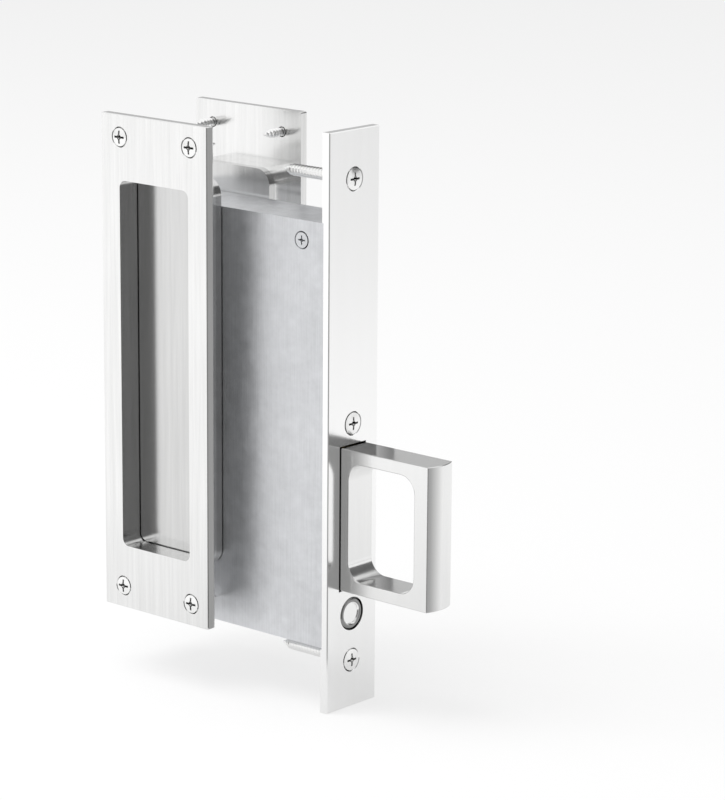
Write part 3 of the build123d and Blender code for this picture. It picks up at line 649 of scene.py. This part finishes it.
class StageSettings(bpy.types.PropertyGroup):
    """Camera, floor and light."""

    camera_place: bpy.props.FloatVectorProperty(
        name="Camera", description="Place of the camera", default=(0.7358, -0.8373, 0.2766),
        subtype="TRANSLATION", unit="LENGTH",
    )
    azimuth: bpy.props.FloatProperty(
        name="Azimuth", description="Angle of the camera round the pull set", default=math.radians(41.02),
        subtype="ANGLE", unit="ROTATION",
    )
    elevation: bpy.props.FloatProperty(
        name="Elevation", description="Angle of the camera above the horizon", default=math.radians(13.56),
        subtype="ANGLE", unit="ROTATION",
    )
    roll: bpy.props.FloatProperty(
        name="Roll", description="Turn of the camera about its own axis", default=math.radians(0.43),
        subtype="ANGLE", unit="ROTATION",
    )
    lens: bpy.props.FloatProperty(
        name="Lens", description="Focal length in millimetres for a 36 mm long side", default=150.8
    )
    floor: bpy.props.FloatVectorProperty(
        name="Floor", description="Colour of the floor",
        default=(0.92, 0.92, 0.92), subtype="COLOR", min=0, max=1,
    )
    floor_glow: bpy.props.FloatProperty(
        name="Floor glow", description="Share of plain white in the floor for the camera and the metal",
        default=0.7,
    )
    floor_close: bpy.props.FloatProperty(
        name="Floor close by", description="How much darker the metal sees the floor close by", default=0.2
    )
    floor_far: bpy.props.FloatProperty(
        name="Floor far off", description="How much darker the metal sees the floor far off on the right",
        default=0.12,
    )
    ambient: bpy.props.FloatProperty(
        name="Ambient", description="Strength of the light from all round", default=0.5
    )
    front_shade: bpy.props.FloatProperty(
        name="Front card", description="Brightness of the shade card in front, in its dark part",
        default=0.13,
    )
    front_middle: bpy.props.FloatProperty(
        name="Front card middle", description="Brightness of the shade card in front, round its middle",
        default=0.32,
    )
    front_radius: bpy.props.FloatProperty(
        name="Front card radius", description="Distance of the front card from the z axis",
        default=0.16, unit="LENGTH",
    )
    front_left: bpy.props.FloatProperty(
        name="Front card left", description="Angle from the x axis to the front card's left end",
        default=math.radians(-104), subtype="ANGLE", unit="ROTATION",
    )
    front_right: bpy.props.FloatProperty(
        name="Front card right", description="Angle from the x axis to the front card's right end",
        default=math.radians(38), subtype="ANGLE", unit="ROTATION",
    )
    front_dark: bpy.props.FloatProperty(
        name="Front card dark", description="Angle from the x axis where the front card starts to lighten",
        default=math.radians(-70), subtype="ANGLE", unit="ROTATION",
    )
    left_fade: bpy.props.FloatProperty(
        name="Left fade", description="Angle over which the front card's left part fades",
        default=math.radians(18), subtype="ANGLE", unit="ROTATION",
    )
    right_fade: bpy.props.FloatProperty(
        name="Right fade", description="Angle over which the front card's right end fades to white",
        default=math.radians(40), subtype="ANGLE", unit="ROTATION",
    )
    near_edge: bpy.props.FloatProperty(
        name="Near strip", description="Brightness of the strip beside the front plate on the near side",
        default=0.3,
    )
    near_end: bpy.props.FloatProperty(
        name="Near strip end", description="Brightness of the near strip at its outer end", default=0.85
    )
    side_face: bpy.props.FloatProperty(
        name="Face cards", description="Brightness of the cards beside the flush pulls", default=0.36
    )
    far_edge: bpy.props.FloatProperty(
        name="Far strip", description="Brightness of the strip beside the front plate on the far side",
        default=0.42,
    )
    far_end: bpy.props.FloatProperty(
        name="Far strip end", description="Brightness of the far strip at its outer end", default=0.18
    )
    back_shade: bpy.props.FloatProperty(
        name="Back card", description="Brightness of the shade card behind, at its right end",
        default=0.12,
    )
    back_light: bpy.props.FloatProperty(
        name="Back card left", description="Brightness of the shade card behind, at its left end",
        default=0.52,
    )
    overhead_place: bpy.props.FloatVectorProperty(
        name="Overhead light", description="Place of the overhead light",
        default=(-0.4, -0.5, 1.8), subtype="TRANSLATION", unit="LENGTH",
    )
    overhead_size: bpy.props.FloatProperty(
        name="Overhead size", description="Diameter of the overhead light", default=1.6, unit="LENGTH"
    )
    overhead_power: bpy.props.FloatProperty(
        name="Overhead power", description="Power of the overhead light", default=26, unit="POWER"
    )
    side_place: bpy.props.FloatVectorProperty(
        name="Side light", description="Place of the side light",
        default=(-1.4, -1.2, 0.9), subtype="TRANSLATION", unit="LENGTH",
    )
    side_size: bpy.props.FloatProperty(
        name="Side size", description="Diameter of the side light", default=0.8, unit="LENGTH"
    )
    side_power: bpy.props.FloatProperty(
        name="Side power", description="Power of the side light", default=8, unit="POWER"
    )


class DoorPullSettings(bpy.types.PropertyGroup):
    """All settings of the pull set."""

    threads: bpy.props.PointerProperty(type=ThreadSettings)
    springs: bpy.props.PointerProperty(type=SpringSettings)
    finish: bpy.props.PointerProperty(type=FinishSettings)
    stage: bpy.props.PointerProperty(type=StageSettings)


# Operators


class DOORPULL_OT_finish_metals(bpy.types.Operator):
    """Give every CAD node its metal, rubber or brass by its material slot"""

    bl_idname = "door_pull.finish_metals"
    bl_label = "Finish Metals"

    def execute(self, context):
        finish = context.scene.door_pull.finish
        by_slot = {
            "satin_stainless": brushed_stainless(finish, "satin_stainless_brushed", 1.0, finish.grain),
            "plated_steel": plated_steel(finish),
            "guide_brass": guide_brass(finish),
            "buffer_rubber": buffer_rubber(finish),
            "spring_steel": spring_steel(finish),
            "black_steel": black_steel(finish),
            "screw_stainless": screw_stainless(finish, "screw_stainless_plate", (1, 0), PLATE_FACE),
        }
        # Painted light: the front plate is a brighter copy of the brushed stainless
        plate = brushed_stainless(finish, "satin_stainless_plate", finish.plate_painted_light, finish.plate_grain)
        # Painted shade: the recess backs of the flush pulls are a darker copy of the brushed stainless
        recess = brushed_stainless(finish, "satin_stainless_recess", finish.pull_back_painted_shade, finish.grain)
        by_node = {
            "release_button": turned_button(finish),
            "front_plate": plate,
            "edge_pull": brushed_stainless(finish, "satin_stainless_loop", 1.0, finish.plate_grain),
            "near_pull_back": recess,
            "far_pull_back": recess,
            "near_pull_screws": screw_stainless(finish, "screw_stainless_near", (-1, 1), -PULL_FACE),
            "far_pull_screws": screw_stainless(finish, "screw_stainless_far", (1, 1), PULL_FACE),
        }
        for name, node in frame["nodes"].items():
            slot = node.data.materials[0].name
            node.data.materials[0] = by_node.get(name, by_slot[slot])
        return {"FINISHED"}


class DOORPULL_OT_cut_threads(bpy.types.Operator):
    """Wind a thread round the body of each wood screw"""

    bl_idname = "door_pull.cut_threads"
    bl_label = "Cut Screw Threads"

    def thread_set(self, sizes, node, root, axis, starts):
        """One piece with the threads of all the screws of a node."""
        name = node.removesuffix("s") + "_threads"
        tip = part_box(node)[0] if sum(axis) < 0 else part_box(node)[1]
        length = (tip - Vector(starts[0])).dot(axis)
        ridge = thread_ridge(
            length, root, sizes.tip, sizes.point, sizes.crest, sizes.pitch, sizes.flank, sizes.steps
        )
        piece = make_piece(name, placed(ridge, starts, axis), frame["nodes"][node].data.materials[0])
        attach(piece, "housing")

    def execute(self, context):
        sizes = context.scene.door_pull.threads
        low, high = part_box("front_plate_screws")
        ends = (low.z + sizes.plate_head, high.z - sizes.plate_head)
        starts = [(PLATE_BACK, 0, z) for z in ends]
        self.thread_set(sizes, "front_plate_screws", sizes.plate_root, (-1, 0, 0), starts)
        for side, sign in (("near", 1), ("far", -1)):
            node = f"{side}_pull_screws"
            low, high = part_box(node)
            back = sign * (PULL_FLANGE - PULL_FACE)
            starts = [
                (x, back, z)
                for x in (low.x + sizes.pull_head, high.x - sizes.pull_head)
                for z in (low.z + sizes.pull_head, high.z - sizes.pull_head)
            ]
            self.thread_set(sizes, node, sizes.pull_root, (0, sign, 0), starts)
        return {"FINISHED"}


class DOORPULL_OT_wind_springs(bpy.types.Operator):
    """Wind the ejector spring and the button spring from round wire, and bow the lever's leaf spring"""

    bl_idname = "door_pull.wind_springs"
    bl_label = "Wind Springs"

    def wind(self, sizes, node, joint, radius, wire, turns):
        """One coil in the place of its CAD node, which is hidden."""
        low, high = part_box(node)
        length = high.x - low.x
        middle = ((low.y + high.y) / 2, (low.z + high.z) / 2)
        coil = wire_coil(length, radius, wire, turns, sizes.steps, sizes.sides)
        tubes = placed(coil, [(low.x, *middle)], (1, 0, 0))
        piece = make_piece(f"{node}_wire", tubes, frame["nodes"][node].data.materials[0])
        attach(piece, "housing")
        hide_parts(node)
        keep = 1 - joint_travel(joint) / length
        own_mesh(piece)

    def bow(self, sizes):
        """The leaf in the place of its CAD node, which is hidden."""
        low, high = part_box("lever_spring")
        foot = Vector(((low.x + high.x) / 2, (low.y + high.y) / 2, low.z))
        height = high.z - low.z
        leaf = bowed_leaf(
            (high.x - low.x) / 2, height, high.y - low.y, sizes.leaf_thickness, sizes.leaf_steps
        )
        metal = frame["nodes"]["lever_spring"].data.materials[0]
        piece = make_piece("lever_spring_leaf", leaf[None] + np.array(foot), metal)
        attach(piece, "housing")
        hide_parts("lever_spring")
        tilt = find_joint("latch_tilt")
        drop = (foot.x - tilt["pos_m"][0]) * math.tan(math.radians(max(tilt["range_deg"])))
        1 - drop / height
        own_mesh(piece)

    def execute(self, context):
        sizes = context.scene.door_pull.springs
        self.wind(
            sizes, "ejector_spring", "pull_slide",
            sizes.ejector_radius, sizes.ejector_wire, sizes.ejector_turns,
        )
        self.wind(
            sizes, "button_spring", "button_press",
            sizes.button_radius, sizes.button_wire, sizes.button_turns,
        )
        self.bow(sizes)
        return {"FINISHED"}


class DOORPULL_OT_set_stage(bpy.types.Operator):
    """Set the camera, the pale floor, the shade cards and the soft light"""

    bl_idname = "door_pull.set_stage"
    bl_label = "Set Stage"

    def set_camera(self, scene, stage):
        """Camera at its place, turned to its azimuth, elevation and roll."""
        camera = bpy.data.objects.new("studio_camera", bpy.data.cameras.new("studio_camera"))
        camera.data.lens = stage.lens
        back = Vector((
            math.sin(stage.azimuth) * math.cos(stage.elevation),
            -math.cos(stage.azimuth) * math.cos(stage.elevation),
            math.sin(stage.elevation),
        ))
        right = Vector((math.cos(stage.azimuth), math.sin(stage.azimuth), 0))
        turned = Matrix.Rotation(stage.roll, 3, back)
        axes = Matrix([turned @ right, turned @ back.cross(right), back]).transposed()
        camera.matrix_world = Matrix.Translation(stage.camera_place) @ axes.to_4x4()
        scene.collection.objects.link(camera)
        scene.camera = camera

    def sheet(self, name, grid, material):
        """Open surface from a grid of points, as a stage object."""
        rows, columns = grid.shape[:2]
        i, j = np.meshgrid(np.arange(rows - 1), np.arange(columns - 1), indexing="ij")
        corner = i * columns + j
        quads = np.stack([corner, corner + 1, corner + columns + 1, corner + columns], axis=-1)
        mesh = bpy.data.meshes.new(name)
        mesh.from_pydata(grid.reshape(-1, 3).tolist(), [], quads.reshape(-1, 4).tolist())
        mesh.materials.append(material)
        made = bpy.data.objects.new(name, mesh)
        bpy.context.scene.collection.objects.link(made)
        return made

    def floor_material(self, stage):
        """Pale floor that keeps the shadow, with a share of plain white, and clear from below.

        The metal sees it darker close by, and darker far off on the right behind.
        """
        material, wire = new_material("studio_floor")
        camera = wire.node("ShaderNodeLightPath", output="Is Camera Ray")
        share = wire.plainly_seen() * stage.floor_glow
        x, y, _ = wire.millimetres().parts()
        reach = (x * x + y * y) ** 0.5
        # Painted shade: the floor that the metal sees is darker close to the part and far off on the right
        # behind
        close_by = 1 - reach.fade(*FLOOR_CLOSE_FADE)
        far_off = x.at_most(y).fade(*FLOOR_FAR_FADE)
        grey = 1 - close_by * stage.floor_close - far_off * stage.floor_far
        seen = camera.at_least(grey)
        painted = wire.node("ShaderNodeBsdfDiffuse", inputs={"Color": (*stage.floor, 1.0)})
        white = wire.node("ShaderNodeEmission", inputs={"Color": seen.as_grey(), "Strength": 1.0})
        top = wire.node("ShaderNodeMixShader", inputs={0: share, 1: painted, 2: white})
        self.close_stage(wire, top)
        return material

    def card_material(self, name, brightness):
        """Card of a brightness, a number or a function of its place in millimetres, clear from behind."""
        material, wire = new_material(name)
        if callable(brightness):
            colour = brightness(*wire.millimetres().parts()).as_grey()
        else:
            colour = (brightness, brightness, brightness, 1.0)
        glow = wire.node("ShaderNodeEmission", inputs={"Color": colour, "Strength": 1.0})
        self.close_stage(wire, glow)
        return material

    def close_stage(self, wire, front):
        """Stage surface with the given front and nothing to be seen from behind."""
        behind = wire.node("ShaderNodeNewGeometry", output="Backfacing")
        clear = wire.node("ShaderNodeBsdfTransparent")
        surface = wire.node("ShaderNodeMixShader", inputs={0: behind, 1: front, 2: clear})
        wire.node("ShaderNodeOutputMaterial", inputs={"Surface": surface})

    def bent_card(self, name, radius, ends, levels, material):
        """Upright card bent round the z axis.

        A point at angle a and height z is (radius cos a, radius sin a, z).
        """
        angle, height = np.meshgrid(np.linspace(*ends, CARD_STEPS), np.array(levels), indexing="ij")
        grid = np.stack([radius * np.cos(angle), radius * np.sin(angle), height], axis=-1)
        self.for_metal_only(self.sheet(name, grid, material))

    def floor_card(self, name, radius, ends, height, material):
        """Flat sector on the floor: a point at angle a and reach r is (r cos a, r sin a, height)."""
        reaches = np.array(FLOOR_CARD_SHARES) * radius
        angle, reach = np.meshgrid(np.linspace(*ends, CARD_STEPS), reaches, indexing="ij")
        level = np.full_like(angle, height)
        grid = np.stack([reach * np.cos(angle), reach * np.sin(angle), level], axis=-1)
        self.for_metal_only(self.sheet(name, grid, material))

    def flat_card(self, name, corner, across, material):
        """Flat upright card as high as the part: a lower corner plus shares of its two sides."""
        height = np.array([0, 0, CAD_BOX[1][2] - CAD_BOX[0][2]])
        share = np.array([0.0, 1.0])
        grid = np.array(corner) + share[:, None, None] * height + share[None, :, None] * np.array(across)
        self.for_metal_only(self.sheet(name, grid, material))

    def for_metal_only(self, card):
        """The card shows in reflections, and is neither seen otherwise nor throws light or shadow."""
        card.visible_camera = False
        card.visible_diffuse = False
        card.visible_shadow = False
        card.visible_transmission = False

    def set_cards(self, stage):
        """Cards in front of the part, on the floor before it, behind it and beside it."""

        def front_grey(x, y, z):
            """White at the left end, then dark, grey round the middle and white at the right end."""
            angle = y.math("ARCTAN2", y, x)
            left = 1 - angle.fade(stage.front_left, stage.front_left + stage.left_fade)
            rise = angle.fade(stage.front_dark, stage.front_dark + stage.left_fade)
            right = angle.fade(stage.front_right - stage.right_fade, stage.front_right)
            return (
                stage.front_shade
                + left * (1 - stage.front_shade)
                + rise * (stage.front_middle - stage.front_shade)
                + right * (1 - stage.front_middle)
            )

        front = self.card_material("front_card", front_grey)
        ends = (stage.front_left, stage.front_right)
        floor = FLOOR_LEVEL + MM
        self.bent_card("front_shade_card", stage.front_radius, ends, (floor, FRONT_CARD_TOP), front)
        self.floor_card("floor_shade_card", stage.front_radius, ends, floor, front)

        def back_grey(x, y, z):
            """Dark at the right end and lighter towards the left."""
            return stage.back_shade + x.fade(*BACK_CARD_FADE) * (stage.back_light - stage.back_shade)

        back = self.card_material("back_card", back_grey)
        self.bent_card("back_shade_card", BACK_CARD_RADIUS, BACK_CARD_ENDS, BACK_CARD_LEVELS, back)
        self.set_side_cards(stage)

    def set_side_cards(self, stage):
        """Glowing strips beside the front plate and the flush pulls: painted reflections of the door round
        them in shade, as the metal sees it when it is fitted.
        """
        face = PULL_FACE - PULL_FLANGE
        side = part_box("front_plate")[1].y + CARD_GAP
        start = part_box("near_pull_frame")[1].x + CARD_GAP
        front = PLATE_FACE - CARD_GAP

        def graded(first, last):
            """Brightness that runs evenly from the front plate to the outer end of a strip."""
            rise = (last - first) * MM / (face - side)
            return lambda x, y, z: first + (y.math("ABSOLUTE", y) - side / MM) * rise

        near = self.card_material("near_edge", graded(stage.near_edge, stage.near_end))
        far = self.card_material("far_edge", graded(stage.far_edge, stage.far_end))
        wide = self.card_material("side_face", stage.side_face)
        self.flat_card("near_edge_card", (front, -face, FLOOR_LEVEL), (0, face - side, 0), near)
        self.flat_card("far_edge_card", (front, side, FLOOR_LEVEL), (0, face - side, 0), far)
        self.flat_card("near_face_card", (start, -face, FLOOR_LEVEL), (-start, 0, 0), wide)
        self.flat_card("far_face_card", (0, face, FLOOR_LEVEL), (start, 0, 0), wide)

    def set_world(self, scene, stage):
        """White all round for the camera and the metal, softer for the rest."""
        scene.world = bpy.data.worlds.new("studio_world")
        scene.world.use_nodes = True
        scene.world.node_tree.nodes.clear()
        wire = Wire(scene.world.node_tree)
        grey = stage.ambient + wire.plainly_seen() * (1 - stage.ambient)
        sky = wire.node("ShaderNodeBackground", inputs={"Color": grey.as_grey(), "Strength": 1.0})
        wire.node("ShaderNodeOutputWorld", inputs={"Surface": sky})

    def soft_light(self, scene, name, place, size, power):
        """Round lamp turned to the origin, which the metal does not mirror."""
        light = bpy.data.lights.new(name, "AREA")
        light.shape = "DISK"
        light.size = size
        light.energy = power
        lamp = bpy.data.objects.new(name, light)
        lamp.location = place
        lamp.visible_glossy = False
        lamp.rotation_euler = (-Vector(place)).to_track_quat("-Z", "Y").to_euler()
        scene.collection.objects.link(lamp)

    def execute(self, context):
        scene = context.scene
        stage = scene.door_pull.stage
        self.set_camera(scene, stage)
        reach = np.array([-FLOOR_REACH, FLOOR_REACH])
        x, y = np.meshgrid(reach, reach)
        grid = np.stack([x, y, np.full_like(x, FLOOR_LEVEL)], axis=-1)
        self.sheet("studio_floor", grid, self.floor_material(stage))
        self.set_cards(stage)
        self.set_world(scene, stage)
        lights = (
            ("overhead_light", stage.overhead_place, stage.overhead_size, stage.overhead_power),
            ("side_light", stage.side_place, stage.side_size, stage.side_power),
        )
        for light in lights:
            self.soft_light(scene, *light)
        scene.view_settings.view_transform = "Standard"
        return {"FINISHED"}


class DOORPULL_PT_panel(bpy.types.Panel):
    """Lists the steps that dress the pull set"""

    bl_idname = "DOORPULL_PT_panel"
    bl_label = "Door Pull"
    bl_space_type = "VIEW_3D"
    bl_region_type = "UI"
    bl_category = "Door Pull"

    def draw(self, context):
        settings = context.scene.door_pull
        groups = (settings.finish, settings.threads, settings.springs, settings.stage)
        for group, step in zip(groups, STEPS):
            box = self.layout.box()
            for name in group.bl_rna.properties.keys():
                if name not in ("rna_type", "name"):
                    box.prop(group, name)
            box.operator(step.bl_idname)


STEPS = (
    DOORPULL_OT_finish_metals,
    DOORPULL_OT_cut_threads,
    DOORPULL_OT_wind_springs,
    DOORPULL_OT_set_stage,
)
CLASSES = (
    ThreadSettings,
    SpringSettings,
    FinishSettings,
    StageSettings,
    DoorPullSettings,
    *STEPS,
    DOORPULL_PT_panel,
)


def register():
    for cls in CLASSES:
        bpy.utils.register_class(cls)
    bpy.types.Scene.door_pull = bpy.props.PointerProperty(type=DoorPullSettings)


def unregister():
    del bpy.types.Scene.door_pull
    for cls in reversed(CLASSES):
        bpy.utils.unregister_class(cls)


def main():
    register()
    bpy.ops.door_pull.finish_metals()
    bpy.ops.door_pull.cut_threads()
    bpy.ops.door_pull.wind_springs()
    bpy.ops.door_pull.set_stage()


if __name__ == "__main__":
    main()
